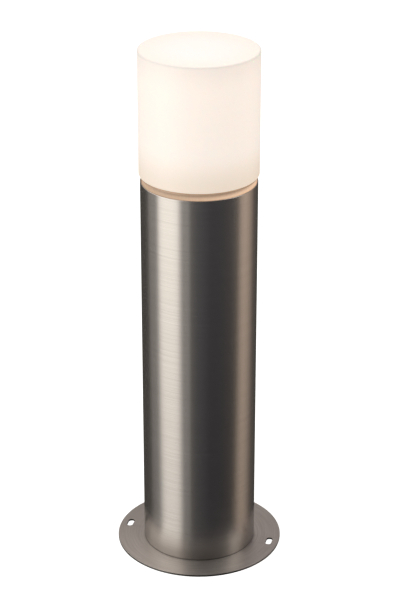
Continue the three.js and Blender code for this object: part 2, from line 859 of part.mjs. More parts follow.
addPiece("earth_lug", earthLug(), NICKEL);
addPiece("earth_washer", earthWasher(), ZINC_STEEL);
addScrew("earth_screw", EARTH_SCREW, new THREE.Vector3(EARTH.x, EARTH.y, EARTH_HEAD_Z), BRASS);

// ---- Internal leads ------------------------------------------------------------------------

function lead(points) {
  const curve = new THREE.CatmullRomCurve3(points.map((p) => new THREE.Vector3(...p)));
  const section = new THREE.Shape();
  for (let i = 0; i < WIRE_SIDES; i += 1) {
    const angle = (2 * Math.PI * i) / WIRE_SIDES;
    const x = WIRE.radius * Math.cos(angle);
    const y = WIRE.radius * Math.sin(angle);
    if (i === 0) section.moveTo(x, y);
    else section.lineTo(x, y);
  }
  section.closePath();
  const options = { steps: WIRE.steps, extrudePath: curve, bevelEnabled: false };
  return new THREE.ExtrudeGeometry(section, options);
}

addPiece(
  "lead_live",
  lead([
    [LEAD_START_X, BLOCK.pole, POLE_Z],
    [31, BLOCK.pole, POLE_Z],
    [27.5, 9.6, POLE_Z + 1.6],
    [25, 8.6, POLE_Z + 5.4],
    [22.3, 7.5, POLE_Z + 9.4],
    [18.8, LEAD_ENTRY.liveY, LEAD_ENTRY.z],
    [LEAD_ENTRY.x, LEAD_ENTRY.liveY, LEAD_ENTRY.z],
  ]),
  BROWN_WIRE,
);
addPiece(
  "lead_neutral",
  lead([
    [LEAD_START_X, 0, POLE_Z],
    [31, 0, POLE_Z],
    [27.5, -0.5, POLE_Z + 1.6],
    [25.2, -1.5, POLE_Z + 5.4],
    [22.8, -2.5, POLE_Z + 9.2],
    [19.2, LEAD_ENTRY.neutralY, LEAD_ENTRY.z],
    [LEAD_ENTRY.x, LEAD_ENTRY.neutralY, LEAD_ENTRY.z],
  ]),
  BLUE_WIRE,
);
addPiece(
  "lead_earth",
  lead([
    [LEAD_START_X, -BLOCK.pole, POLE_Z],
    [31.5, -BLOCK.pole, POLE_Z],
    [28, -11.2, POLE_Z - 0.2],
    [26.2, -14.5, POLE_Z - 0.8],
    [EARTH.x, -19, POLE_Z - 1.8],
    [EARTH.x, -23, LUG_Z + 2],
    [EARTH.x, -27, LUG_Z + 2],
  ]),
  GREEN_WIRE,
);

export default part;
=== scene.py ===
import json
import math

import bmesh
import bpy
from mathutils import Euler, Matrix, Vector


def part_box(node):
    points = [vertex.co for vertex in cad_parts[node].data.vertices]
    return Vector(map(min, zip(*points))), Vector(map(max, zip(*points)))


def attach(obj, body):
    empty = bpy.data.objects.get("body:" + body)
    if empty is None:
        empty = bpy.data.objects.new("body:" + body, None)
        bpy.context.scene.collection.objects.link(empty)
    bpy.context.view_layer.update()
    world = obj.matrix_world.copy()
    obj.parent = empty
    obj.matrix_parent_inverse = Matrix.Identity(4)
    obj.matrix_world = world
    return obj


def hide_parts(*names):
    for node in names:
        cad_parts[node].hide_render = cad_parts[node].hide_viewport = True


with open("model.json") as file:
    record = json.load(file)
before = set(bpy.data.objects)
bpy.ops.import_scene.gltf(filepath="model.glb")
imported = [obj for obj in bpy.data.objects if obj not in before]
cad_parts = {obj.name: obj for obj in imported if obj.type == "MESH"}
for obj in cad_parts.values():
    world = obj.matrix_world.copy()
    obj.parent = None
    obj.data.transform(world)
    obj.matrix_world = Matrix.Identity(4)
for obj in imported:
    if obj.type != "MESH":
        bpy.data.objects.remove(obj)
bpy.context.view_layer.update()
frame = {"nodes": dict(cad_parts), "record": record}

MM = 0.001
RECORD = frame["record"]
BODY_OF = {node: body for body, nodes in RECORD["behaviour"]["bodies"].items() for node in nodes}
SLOT_OF = {entry["node"]: entry["material_slot"] for entry in RECORD["subparts"]}


def box_mm(node):
    """Lowest and highest corner of a CAD node in millimetres."""
    low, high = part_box(node)
    return low / MM, high / MM


# ---- Camera --------------------------------------------------------------------------------

# The camera stands to the right of the object's front, which faces -Y, and looks down.
CAMERA_AZIMUTH = math.radians(14.5)
CAMERA_PITCH = math.radians(24.604)
CAMERA_DISTANCE = 1.9956
CAMERA_HEIGHT = 1.2196
CAMERA_SIDE = 0.0015
CAMERA_LENS = 116.8


def add_camera():
    data = bpy.data.cameras.new("camera")
    data.lens = CAMERA_LENS
    data.sensor_width = 36.0
    data.clip_start = 0.05
    data.clip_end = 60.0
    camera = bpy.data.objects.new("camera", data)
    spin = Matrix.Rotation(CAMERA_AZIMUTH, 4, "Z")
    camera.location = spin @ Vector((CAMERA_SIDE, -CAMERA_DISTANCE, CAMERA_HEIGHT))
    camera.rotation_euler = Euler((math.pi / 2 - CAMERA_PITCH, 0.0, CAMERA_AZIMUTH))
    bpy.context.scene.collection.objects.link(camera)
    bpy.context.scene.camera = camera


add_camera()

# Directions of the studio, seen from the camera's side of the object.
TO_CAMERA = Vector((math.sin(CAMERA_AZIMUTH), -math.cos(CAMERA_AZIMUTH), 0.0))
TO_RIGHT = Vector((math.cos(CAMERA_AZIMUTH), math.sin(CAMERA_AZIMUTH), 0.0))


# ---- Node helpers --------------------------------------------------------------------------

class Nodes:
    """Short calls for building a node tree."""

    def __init__(self, tree):
        self.tree = tree
        tree.nodes.clear()

    def add(self, kind, inputs=None, **settings):
        node = self.tree.nodes.new(kind)
        for name, value in settings.items():
            setattr(node, name, value)
        for name, value in (inputs or {}).items():
            self.feed(value, node.inputs[name])
        return node

    def feed(self, value, socket):
        if isinstance(value, bpy.types.NodeSocket):
            self.tree.links.new(value, socket)
        else:
            socket.default_value = value

    def math(self, operation, *values):
        node = self.tree.nodes.new("ShaderNodeMath")
        node.operation = operation
        for i, value in enumerate(values):
            self.feed(value, node.inputs[i])
        return node.outputs[0]

    def vector(self, operation, *values):
        """Vector Math node."""
        return self.add("ShaderNodeVectorMath", dict(enumerate(values)), operation=operation)

    def mapped(self, value, from_low, from_high, to_low, to_high, smooth=True):
        """Map Range with clamping."""
        kind = "SMOOTHSTEP" if smooth else "LINEAR"
        node = self.add("ShaderNodeMapRange", interpolation_type=kind)
        names = ("Value", "From Min", "From Max", "To Min", "To Max")
        for name, item in zip(names, (value, from_low, from_high, to_low, to_high)):
            self.feed(item, node.inputs[name])
        return node.outputs[0]

    def spread(self, noise, low, high):
        """From low to high over the middle of a noise's range, where most of it lies."""
        return self.mapped(noise, 0.3, 0.7, low, high)

    def blend(self, first, second, share):
        """Two numbers mixed; share is the first one's part."""
        rest = self.math("MULTIPLY", second, 1.0 - share)
        return self.math("ADD", self.math("MULTIPLY", first, share), rest)

    def scaled(self, vector, factor):
        node = self.vector("SCALE", vector)
        self.feed(factor, node.inputs["Scale"])
        return node.outputs[0]

    def along(self, vector, direction):
        """How far a vector reaches in a direction."""
        return self.vector("DOT_PRODUCT", vector, tuple(direction)).outputs["Value"]

    def mix(self, factor, first, second):
        """Colour mix. Its colour inputs are sockets 6 and 7."""
        node = self.add("ShaderNodeMix", data_type="RGBA")
        self.feed(factor, node.inputs[0])
        self.feed(first, node.inputs[6])
        self.feed(second, node.inputs[7])
        return node.outputs[2]

    def toned(self, noise, dark, light):
        """A colour between two tones, by a noise."""
        return self.mix(self.spread(noise, 0.0, 1.0), dark, light)

    def place(self):
        """Object coordinates in metres."""
        return self.add("ShaderNodeTexCoord").outputs["Object"]

    def height(self):
        return self.add("ShaderNodeSeparateXYZ", {0: self.place()}).outputs[2]

    def from_axis(self):
        """Distance from the upright axis through the origin."""
        flat = self.vector("MULTIPLY", self.place(), (1.0, 1.0, 0.0)).outputs[0]
        return self.vector("LENGTH", flat).outputs["Value"]

    def stretched(self, scale):
        """Object coordinates scaled on each axis."""
        return self.add("ShaderNodeMapping", {"Scale": scale, "Vector": self.place()}).outputs[0]

    def noise(self, scale, detail, roughness=0.5, vector=None):
        inputs = {"Scale": scale, "Detail": detail, "Roughness": roughness}
        node = self.add("ShaderNodeTexNoise", inputs)
        self.feed(vector or self.place(), node.inputs["Vector"])
        return node.outputs[0]

    def bump(self, height, strength, distance):
        inputs = {"Height": height, "Strength": strength, "Distance": distance}
        return self.add("ShaderNodeBump", inputs).outputs[0]


def rgb(red, green, blue):
    return (red, green, blue, 1.0)


def tinted(colour, amount):
    return rgb(*(min(1.0, c * amount) for c in colour[:3]))


def new_material(name):
    material = bpy.data.materials.new(name)
    material.use_nodes = True
    return material, Nodes(material.node_tree)


def finish_material(nodes, **inputs):
    """Principled shader and output. Keys are socket names with _ for spaces."""
    shader = nodes.add(
        "ShaderNodeBsdfPrincipled", {k.replace("_", " "): v for k, v in inputs.items()}
    )
    nodes.add("ShaderNodeOutputMaterial", {"Surface": shader.outputs[0]})


def brushing(nodes, strength):
    """Shader inputs of metal brushed round the upright axis, which draws reflections out
    up and down."""
    tangent = nodes.add("ShaderNodeTangent", direction_type="RADIAL", axis="Z").outputs[0]
    return {"Anisotropic": strength, "Anisotropic_Rotation": 0.25, "Tangent": tangent}


# ---- Materials -----------------------------------------------------------------------------

def brushed_post():
    """Stainless tube with fine level lines. Painted shade darkens it over the last centimetres
    above the plate, and a painted contact shadow draws a dark line where it meets it."""
    material, n = new_material("brushed_post")
    fine = n.noise(1.0, 4.0, 0.6, n.stretched((8.0, 8.0, 3000.0)))
    coarse = n.noise(1.0, 2.0, 0.5, n.stretched((4.0, 4.0, 900.0)))
    lines = n.blend(fine, coarse, 0.6)
    steel = n.toned(lines, rgb(0.57, 0.545, 0.52), rgb(0.66, 0.635, 0.61))
    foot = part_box("pole_tube")[0].z
    height = n.height()
    # Painted contact shadow: a dark line just above the plate.
    painted_contact_shadow = n.mapped(height, foot + 0.0003, foot + 0.002, 0.55, 0.0)
    # Painted shade: darker over the last 24 mm above the plate.
    shade = n.mapped(height, foot, foot + 0.024, 0.32, 0.0)
    finish_material(
        n,
        # The painted contact shadow and painted shade mix the steel towards a dark tone.
        Base_Color=n.mix(n.math("ADD", painted_contact_shadow, shade), steel, rgb(0.10, 0.09, 0.085)),
        Metallic=1.0,
        Roughness=n.spread(lines, 0.228, 0.25),
        Normal=n.bump(coarse, 0.1, 0.00004),
        **brushing(n, 0.9),
    )
    return material


def brushed_plate():
    """Stainless plate brushed in rings round its centre, with painted shade on its upright
    edges.
    """
    material, n = new_material("brushed_plate")
    split = n.add("ShaderNodeSeparateXYZ", {0: n.place()})
    ring = n.add(
        "ShaderNodeCombineXYZ",
        {
            0: n.math("MULTIPLY", n.from_axis(), 3600.0),
            1: n.math("MULTIPLY", split.outputs[0], 22.0),
            2: n.math("MULTIPLY", split.outputs[1], 22.0),
        },
    ).outputs[0]
    lines = n.noise(1.0, 4.0, 0.6, ring)
    cloud = n.mapped(n.noise(30.0, 2.0), 0.35, 0.65, -0.02, 0.02)
    face = n.toned(lines, rgb(0.47, 0.433, 0.405), rgb(0.68, 0.637, 0.61))
    facing = n.add("ShaderNodeTexCoord").outputs["Normal"]
    level = n.math("ABSOLUTE", n.add("ShaderNodeSeparateXYZ", {0: facing}).outputs[2])
    # Painted shade: upright faces (the rim and the walls of the holes and slots) go dark.
    edge = n.mapped(level, 0.25, 0.7, 1.0, 0.0)
    satin = n.math("ADD", n.spread(lines, 0.31, 0.41), cloud)
    finish_material(
        n,
        # Painted shade mixes the upright faces towards near black.
        Base_Color=n.mix(edge, face, rgb(0.085, 0.08, 0.075)),
        Metallic=0.85,
        Roughness=n.math("ADD", satin, n.math("MULTIPLY", edge, 0.15)),
        Normal=n.bump(lines, 0.4, 0.00008),
        **brushing(n, 0.8),
    )
    return material


def lit_opal():
    """Opal plastic lit from inside: weaker and warmer at its lower rim, weaker again above
    the lamp and at the top's corner, and brighter and whiter in the middle of the top."""
    material, n = new_material("lit_opal")
    low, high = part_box("diffuser")
    lamp_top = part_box("lamp_globe")[1].z
    height = n.height()
    radius = n.from_axis()
    rise = n.mapped(height, low.z - 0.004, low.z + 0.045, 0.0, 1.0)
    past_lamp = n.mapped(height, lamp_top, high.z, 0.0, 1.0)
    middle = n.mapped(radius, 0.02, high.x, 1.0, 0.0)
    corner = n.math(
        "MULTIPLY",
        n.mapped(height, high.z - 0.0024, high.z - 0.0008, 0.0, 1.0),
        n.mapped(radius, high.x - 0.0024, high.x - 0.0008, 0.0, 1.0),
    )
    glow = n.mapped(rise, 0.0, 1.0, 0.525, 0.615, smooth=False)
    glow = n.math("SUBTRACT", glow, n.math("MULTIPLY", past_lamp, 0.065))
    glow = n.math("ADD", glow, n.math("MULTIPLY", middle, 0.03))
    glow = n.math("SUBTRACT", glow, n.math("MULTIPLY", corner, 0.12))
    grain = n.noise(900.0, 2.0)
    cloud = n.spread(n.noise(22.0, 2.0), 0.0, 0.08)
    side = n.mix(rise, rgb(1.0, 0.80, 0.60), rgb(1.0, 0.90, 0.815))
    tone = n.mix(middle, side, rgb(1.0, 0.905, 0.89))
    finish_material(
        n,
        Base_Color=n.toned(grain, rgb(0.80, 0.77, 0.74), rgb(0.84, 0.82, 0.79)),
        Roughness=n.spread(grain, 0.36, 0.42),
        Subsurface_Weight=0.2,
        Subsurface_Radius=(1.0, 0.6, 0.4),
        Subsurface_Scale=0.006,
        Emission_Color=n.mix(cloud, tone, rgb(1.0, 0.9, 0.8)),
        Emission_Strength=glow,
        Normal=n.bump(grain, 0.05, 0.00005),
    )
    return material


def lit_lamp():
    """The lamp's own opal globe, the brightest thing in the head."""
    material, n = new_material("lit_lamp")
    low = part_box("lamp_globe")[0]
    grain = n.noise(1500.0, 2.0)
    finish_material(
        n,
        Base_Color=n.toned(grain, rgb(0.80, 0.77, 0.72), rgb(0.86, 0.84, 0.79)),
        Roughness=n.spread(grain, 0.32, 0.38),
        Emission_Color=rgb(1.0, 0.84, 0.66),
        Emission_Strength=n.mapped(n.height(), low.z, low.z + 0.02, 0.45, 0.85),
    )
    return material


def silicone():
    """Beige silicone with a painted glow for the lamp's light through it, stronger on the right
    than on the left, and painted shade under the overhang on the camera's side."""
    material, n = new_material("silicone")
    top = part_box("neck_seal")[1].z
    grain = n.noise(420.0, 3.0)
    # Painted glow, stronger towards the right.
    glow = n.mapped(n.along(n.place(), TO_RIGHT), -0.05, 0.06, 0.24, 0.54)
    # Painted shade under the overhang, on the camera's side only.
    shade = n.math(
        "MULTIPLY",
        n.mapped(n.height(), top - 0.0045, top - 0.0005, 0.0, 0.7),
        n.mapped(n.along(n.place(), TO_CAMERA), 0.015, 0.055, 0.0, 1.0),
    )
    finish_material(
        n,
        Base_Color=n.toned(grain, rgb(0.72, 0.53, 0.38), rgb(0.80, 0.61, 0.46)),
        Roughness=n.spread(grain, 0.45, 0.6),
        Subsurface_Weight=0.15,
        Subsurface_Radius=(1.0, 0.5, 0.25),
        Subsurface_Scale=0.002,
        Emission_Color=rgb(1.0, 0.68, 0.46),
        Emission_Strength=n.math("MULTIPLY", glow, n.math("SUBTRACT", 1.0, shade)),
        Normal=n.bump(grain, 0.1, 0.0001),
    )
    return material


def casting():
    """Blasted aluminium, with a painted glow on the flange just under the diffuser for the
    light of the diffuser's rim.
    """
    material, n = new_material("casting")
    flange_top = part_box("rim_gasket")[0].z
    grain = n.noise(1100.0, 4.0, 0.6)
    rough = n.blend(grain, n.noise(90.0, 2.0), 0.5)
    height = n.height()
    # Painted glow: a thin band on the flange just under the diffuser.
    above = n.mapped(height, flange_top - 0.0025, flange_top - 0.0015, 0.0, 1.0)
    below = n.mapped(height, flange_top + 0.0001, flange_top + 0.0005, 1.0, 0.0)
    finish_material(
        n,
        Base_Color=n.toned(rough, rgb(0.53, 0.42, 0.335), rgb(0.67, 0.54, 0.425)),
        Metallic=0.3,
        Roughness=n.spread(rough, 0.45, 0.55),
        Emission_Color=rgb(1.0, 0.62, 0.38),
        Emission_Strength=n.math("MULTIPLY", n.math("MULTIPLY", above, below), 0.17),
        Normal=n.bump(grain, 0.3, 0.0001),
    )
    return material


def grained(name, colour, roughness, metallic, scale, depth, strength=0.3, variation=0.12,
            coat=0.0):
    """A surface with fine all-over grain and cloudier patches twelve times its size."""
    material, n = new_material(name)
    grain = n.noise(scale, 4.0, 0.6)
    uneven = n.blend(grain, n.noise(scale / 12.0, 2.0), 0.5)
    dark, light = tinted(colour, 1.0 - variation), tinted(colour, 1.0 + variation)
    finish_material(
        n,
        Base_Color=n.toned(uneven, dark, light),
        Metallic=metallic,
        Roughness=n.spread(uneven, roughness - 0.05, roughness + 0.05),
        Coat_Weight=coat,
        Normal=n.bump(grain, strength, depth),
    )
    return material


def striped_lead():
    """Earth insulation: green with yellow stripes."""
    material, n = new_material("striped_lead")
    inputs = {"Vector": n.place(), "Scale": 160.0, "Distortion": 1.5}
    wave = n.add("ShaderNodeTexWave", inputs, bands_direction="DIAGONAL").outputs[1]
    stripe = n.mapped(wave, 0.45, 0.55, 0.0, 1.0)
    base = n.mix(stripe, rgb(0.06, 0.30, 0.05), rgb(0.75, 0.62, 0.04))
    finish_material(n, Base_Color=base, Roughness=0.45)
    return material


MATERIALS = {
    "brushed_tube": brushed_post(),
    "satin_plate": brushed_plate(),
    "opal": lit_opal(),
    "silicone": silicone(),
    "cast_aluminium": casting(),
    "lamp_opal": lit_lamp(),
    "green_wire": striped_lead(),
}
# Plainer ones, as grained's arguments after the name.
GRAINED = {
    "weld_metal": (rgb(0.42, 0.39, 0.36), 0.45, 1.0, 900.0, 0.0002, 0.5),
    "zinc_steel": (rgb(0.55, 0.56, 0.57), 0.33, 1.0, 1500.0, 0.00003),
    "white_enamel": (rgb(0.86, 0.86, 0.84), 0.4, 0.0, 700.0, 0.00004, 0.3, 0.02),
    "porcelain": (rgb(0.84, 0.81, 0.74), 0.18, 0.0, 300.0, 0.00003, 0.2, 0.03, 0.4),
    "white_plastic": (rgb(0.80, 0.80, 0.78), 0.42, 0.0, 1800.0, 0.00004, 0.3, 0.02),
    "grey_plastic": (rgb(0.13, 0.135, 0.14), 0.5, 0.0, 1800.0, 0.00006),
    "block_plastic": (rgb(0.66, 0.65, 0.60), 0.38, 0.0, 1200.0, 0.00004, 0.3, 0.03),
    "black_glass": (rgb(0.012, 0.012, 0.014), 0.15, 0.0, 500.0, 0.00002, 0.1),
    "nickel": (rgb(0.62, 0.59, 0.53), 0.24, 1.0, 1200.0, 0.00002, 0.2, 0.05),
    "brass": (rgb(0.62, 0.42, 0.14), 0.28, 1.0, 1200.0, 0.00002, 0.2),
    "black_rubber": (rgb(0.02, 0.02, 0.02), 0.6, 0.0, 1000.0, 0.0001),
    "board": (rgb(0.74, 0.75, 0.72), 0.45, 0.0, 900.0, 0.00003, 0.2, 0.03),
    "brown_wire": (rgb(0.12, 0.045, 0.02), 0.42, 0.0, 1500.0, 0.00003),
    "blue_wire": (rgb(0.03, 0.09, 0.36), 0.42, 0.0, 1500.0, 0.00003),
}
MATERIALS.update({name: grained(name, *look) for name, look in GRAINED.items()})


# ---- Shape helpers -------------------------------------------------------------------------

FINE = 256  # segments of the large turned parts
MEDIUM = 96  # of the lamp, its holder and the gland
SMALL = 48  # of screws and holes
SHARP_ANGLE = math.radians(40)
SOFTENED_ANGLE = math.radians(50)  # CAD edges sharper than this are rounded off
MERGE = 1e-6  # metres
PAST = 1.0  # how far a cutting tool reaches past the face it cuts


def rounded(points, steps=4):
    """A closed or axis-to-axis profile of (radius, height, corner radius) with its corners
    turned into arcs. A corner radius of 0 leaves the point as it is."""
    result = []
    count = len(points)
    for i, (x, z, corner) in enumerate(points):
        here = Vector((x, z))
        if corner <= 0:
            result.append(here)
            continue
        before = (Vector(points[i - 1][:2]) - here).normalized()
        after = (Vector(points[(i + 1) % count][:2]) - here).normalized()
        half = before.angle(after) / 2
        reach = corner / math.tan(half)
        centre = here + (before + after).normalized() * (corner / math.sin(half))
        start = here + before * reach - centre
        turn = (here + after * reach - centre).angle_signed(start)
        for k in range(steps + 1):
            spun = start.copy()
            spun.rotate(Matrix.Rotation(turn * k / steps, 2))
            result.append(centre + spun)
    return [(max(p.x, 0.0) if abs(p.x) > 1e-6 else 0.0, p.y) for p in result]


def turned(profile, segments, closed):
    """Vertices and faces of a profile of (radius, height) turned about +Z."""
    verts, rows, faces = [], [], []
    for radius, height in profile:
        if radius == 0.0:
            rows.append([len(verts)] * segments)
            verts.append((0.0, 0.0, height))
            continue
        rows.append(list(range(len(verts), len(verts) + segments)))
        for k in range(segments):
            angle = 2 * math.pi * k / segments
            verts.append((radius * math.cos(angle), radius * math.sin(angle), height))
    pairs = list(zip(rows, rows[1:]))
    if closed:
        pairs.append((rows[-1], rows[0]))
    for low, high in pairs:
        for k in range(segments):
            m = (k + 1) % segments
            corners = [low[k], low[m], high[m], high[k]]
            face = [c for i, c in enumerate(corners) if c not in corners[:i]]
            if len(face) > 2:
                faces.append(face)
    return verts, faces


def make_mesh(name, verts, faces):
    mesh = bpy.data.meshes.new(name)
    mesh.from_pydata([Vector(v) * MM for v in verts], [], faces)
    mesh.validate()
    return mesh


def smooth(mesh):
    for polygon in mesh.polygons:
        polygon.use_smooth = True
    mesh.set_sharp_from_angle(angle=SHARP_ANGLE)


def add_object(name, mesh):
    piece = bpy.data.objects.new(name, mesh)
    bpy.context.scene.collection.objects.link(piece)
    return piece


def stand_for(piece, node):
    """The piece takes the place, body and material of a CAD node."""
    piece.data.materials.clear()
    piece.data.materials.append(MATERIALS[SLOT_OF[node]])
    smooth(piece.data)
    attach(piece, BODY_OF[node])
    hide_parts(node)


def mesh_piece(node, verts, faces):
    stand_for(add_object(node + "_form", make_mesh(node + "_form", verts, faces)), node)


def turned_object(name, points, segments, closed, steps=4, at=(0.0, 0.0)):
    """A turned solid. An open profile starts and ends on the axis."""
    verts, faces = turned(rounded(points, steps), segments, closed)
    moved = [(x + at[0], y + at[1], z) for x, y, z in verts]
    return add_object(name, make_mesh(name, moved, faces))


def turned_piece(node, points, segments=FINE, closed=True, steps=4):
    stand_for(turned_object(node + "_form", points, segments, closed, steps), node)


def combined(piece, operation, tools):
    """Joins the tools' solids to a piece, cuts them out of it or keeps what they share with
    it, then removes the tools."""
    for tool in tools:
        modifier = piece.modifiers.new("combine", "BOOLEAN")
        modifier.operation = operation
        modifier.solver = "MANIFOLD"
        modifier.object = tool
    graph = bpy.context.evaluated_depsgraph_get()
    mesh = bpy.data.meshes.new_from_object(piece.evaluated_get(graph))
    piece.modifiers.clear()
    old = piece.data
    piece.data = mesh
    mesh.name = old.name
    bpy.data.meshes.remove(old)
    for tool in tools:
        data = tool.data
        bpy.data.objects.remove(tool)
        bpy.data.meshes.remove(data)
    return piece


def prism(name, outline, bottom, top):
    """An upright prism over an outline of (x, y) points that run anticlockwise."""
    count = len(outline)
    verts = [(x, y, bottom) for x, y in outline] + [(x, y, top) for x, y in outline]
    faces = [[i, (i + 1) % count, count + (i + 1) % count, count + i] for i in range(count)]
    faces.append(list(range(count))[::-1])
    faces.append(list(range(count, 2 * count)))
    return add_object(name, make_mesh(name, verts, faces))


def circle(radius, x=0.0, y=0.0, segments=SMALL):
    turns = [2 * math.pi * k / segments for k in range(segments)]
    return [(x + radius * math.cos(t), y + radius * math.sin(t)) for t in turns]


def stadium(x, y, width, length, segments=24):
    """A slot outline along Y with round ends."""
    radius = width / 2
    outline = []
    for reach, phase in ((length / 2 - radius, 0.0), (radius - length / 2, math.pi)):
        for k in range(segments + 1):
            turn = math.pi * k / segments + phase
            outline.append((x + radius * math.cos(turn), y + reach + radius * math.sin(turn)))
    return outline


def drilled(piece, holes):
    """Cuts round upright holes of (x, y, radius, bottom, top)."""
    tools = [prism("drill", circle(r, x, y), bottom, top) for x, y, r, bottom, top in holes]
    return combined(piece, "DIFFERENCE", tools)


def placed(piece, x, y, z, upside_down=False):
    """Moves a piece's mesh, turned over first if it points up."""
    turn = Matrix.Rotation(math.pi if upside_down else 0.0, 4, "X")
    piece.data.transform(Matrix.Translation(Vector((x, y, z)) * MM) @ turn)
    return piece


def polar(radius, degrees):
    angle = math.radians(degrees)
    return radius * math.cos(angle), radius * math.sin(angle)


def drawn_mesh(name, curve):
    """The mesh of a curve, which is then removed."""
    drawn = bpy.data.objects.new(name, curve)
    bpy.context.scene.collection.objects.link(drawn)
    graph = bpy.context.evaluated_depsgraph_get()
    mesh = bpy.data.meshes.new_from_object(drawn.evaluated_get(graph))
    bpy.data.objects.remove(drawn)
    bpy.data.curves.remove(curve)
    mesh.name = name
    return mesh


def close_seams(mesh):
    """Merges the double points of a curve's mesh, so that it is one closed surface."""
    shell = bmesh.new()
    shell.from_mesh(mesh)
    bmesh.ops.remove_doubles(shell, verts=shell.verts, dist=MERGE)
    bmesh.ops.recalc_face_normals(shell, faces=shell.faces)
    shell.to_mesh(mesh)
    shell.free()


def flat_form(name, loops, bottom, top, edge):
    """A flat sheet from outlines, the first outside and the rest holes, with rounded edges."""
    curve = bpy.data.curves.new(name, "CURVE")
    curve.dimensions = "2D"
    curve.fill_mode = "BOTH"
    for loop in loops:
        spline = curve.splines.new("POLY")
        spline.points.add(len(loop) - 1)
        for point, (x, y) in zip(spline.points, loop):
            point.co = (x * MM, y * MM, 0.0, 1.0)
        spline.use_cyclic_u = True
    curve.extrude = ((top - bottom) / 2 - edge) * MM
    curve.bevel_depth = edge * MM
    curve.bevel_resolution = 2
    curve.offset = -edge * MM
    mesh = drawn_mesh(name, curve)
    mesh.transform(Matrix.Translation((0.0, 0.0, (bottom + top) / 2 * MM)))
    close_seams(mesh)
    return add_object(name, mesh)


def refined(node, width):
    """A CAD node's shape with its sharp edges rounded off."""
    source = frame["nodes"][node]
    piece = add_object(node + "_form", source.data.copy())
    piece.data.name = node + "_form"
    piece.data.transform(source.matrix_world)
    shell = bmesh.new()
    shell.from_mesh(piece.data)
    bmesh.ops.remove_doubles(shell, verts=shell.verts, dist=MERGE)
    bmesh.ops.dissolve_limit(
        shell, angle_limit=math.radians(1), verts=shell.verts, edges=shell.edges
    )
    shell.to_mesh(piece.data)
    shell.free()
    modifier = piece.modifiers.new("soften", "BEVEL")
    modifier.width = width * MM
    modifier.segments = 2
    modifier.limit_method = "ANGLE"
    modifier.angle_limit = SOFTENED_ANGLE
    combined(piece, "DIFFERENCE", [])  # applies the modifier
    stand_for(piece, node)


# ---- Base: plate, post, foot weld ----------------------------------------------------------

TUBE_WALL = 1.5
SLOT_CIRCLE = 85.0
SLOT_WIDTH = 7.0
SLOT_LENGTH = 15.0
CABLE_HOLE = 30.0
PLATE_EDGE = 0.35
RIPPLES = 150  # round a weld
RIPPLE_STEPS = 4
RIPPLE_SIZE = 0.12


def base_plate():
    high = box_mm("base_plate")[1]
    loops = [circle(high.x, segments=FINE), circle(CABLE_HOLE, segments=MEDIUM)]
    loops += [stadium(side * SLOT_CIRCLE, 0.0, SLOT_WIDTH, SLOT_LENGTH) for side in (-1, 1)]
    piece = flat_form("base_plate_form", loops, 0.0, high.z, PLATE_EDGE)
    stand_for(piece, "base_plate")


def pole_tube():
    low, high = box_mm("pole_tube")
    outer, inner = high.x, high.x - TUBE_WALL
    points = [
        (inner, low.z, 0.0),
        (outer, low.z, 0.12),
        (outer, high.z, 0.9),
        (inner, high.z, 0.3),
    ]
    turned_piece("pole_tube", points)


def weld_bead(node, upward):
    """A weld fillet inside the tube with a hollow, rippled face."""
    low, high = box_mm(node)
    leg = high.z - low.z
    outer = high.x
    foot = low.z if upward else high.z
    sign = 1 if upward else -1
    profile = [
        (outer, foot),
        (outer, foot + sign * leg),
        (outer - leg * 0.55, foot + sign * leg * 0.5),
        (outer - leg, foot),
    ]
    if not upward:
        profile.reverse()
    segments = RIPPLES * RIPPLE_STEPS
    verts, faces = turned(profile, segments, True)
    shaped = []
    for i, (x, y, z) in enumerate(verts):
        radius = math.hypot(x, y)
        inset = (outer - radius) / leg
        wave = RIPPLE_SIZE * math.sin(2 * math.pi * RIPPLES * (i % segments) / segments)
        pull = 1.0 + wave * inset * leg / radius * 0.6
        shaped.append((x * pull, y * pull, z))
    mesh_piece(node, shaped, faces)


base_plate()
pole_tube()
weld_bead("foot_weld", True)
weld_bead("ring_weld", False)


# ---- Diffuser and the seals round the neck -------------------------------------------------

DIFFUSER_WALL = 3.0
TOP_EDGE = 1.5


def diffuser():
    low, high = box_mm("diffuser")
    outer, inner, top = high.x, high.x - DIFFUSER_WALL, high.z
    points = [
        (0.0, top - DIFFUSER_WALL, 0.0),
        (inner, top - DIFFUSER_WALL, 1.5),
        (inner, low.z, 0.3),
        (outer, low.z, 0.3),
        (outer, top, TOP_EDGE),
        (0.0, top, 0.0),
    ]
    turned_piece("diffuser", points, FINE, False, 6)


def ring_piece(node, inner, corner=0.3):
    low, high = box_mm(node)
    points = [
        (inner, low.z, corner),
        (high.x, low.z, corner),
        (high.x, high.z, corner),
        (inner, high.z, corner),
    ]
    turned_piece(node, points)


def o_ring():
    low, high = box_mm("spigot_o_ring")
    section = (high.z - low.z) / 2
    profile = circle(section, high.x - section, (low.z + high.z) / 2, 20)
    mesh_piece("spigot_o_ring", *turned(profile, FINE, True))


diffuser()
ring_piece("rim_gasket", 62.55)
ring_piece("neck_seal", 61.8)
o_ring()


# ---- Head: support ring, seal and casting --------------------------------------------------

FLOOR_TOP = 441.25
CASTING_BOTTOM = 438.25
M3_HOLE = 1.8
M4_HOLE = 2.3
RING_BORE = 50.0
SCREW_CIRCLE = 55.5
SCREW_ANGLES = (90, 210, 330)
BOSS_RADIUS = 4.0
BOSS_CIRCLE = 50.0
BOSS_ANGLES = (30, 150, 270)
BOSS_TOP = 480.0
BRACKET_SCREW_Y = 34.0
BLOCK_SCREW_AT = (42.0, 5.0)
GLAND_X = -35.0
GLAND_HOLE = 10.05
EARTH_AT = (26.0, -34.0)
EARTH_BOSS_RADIUS = 6.0
LUG_Z = FLOOR_TOP + 3.0


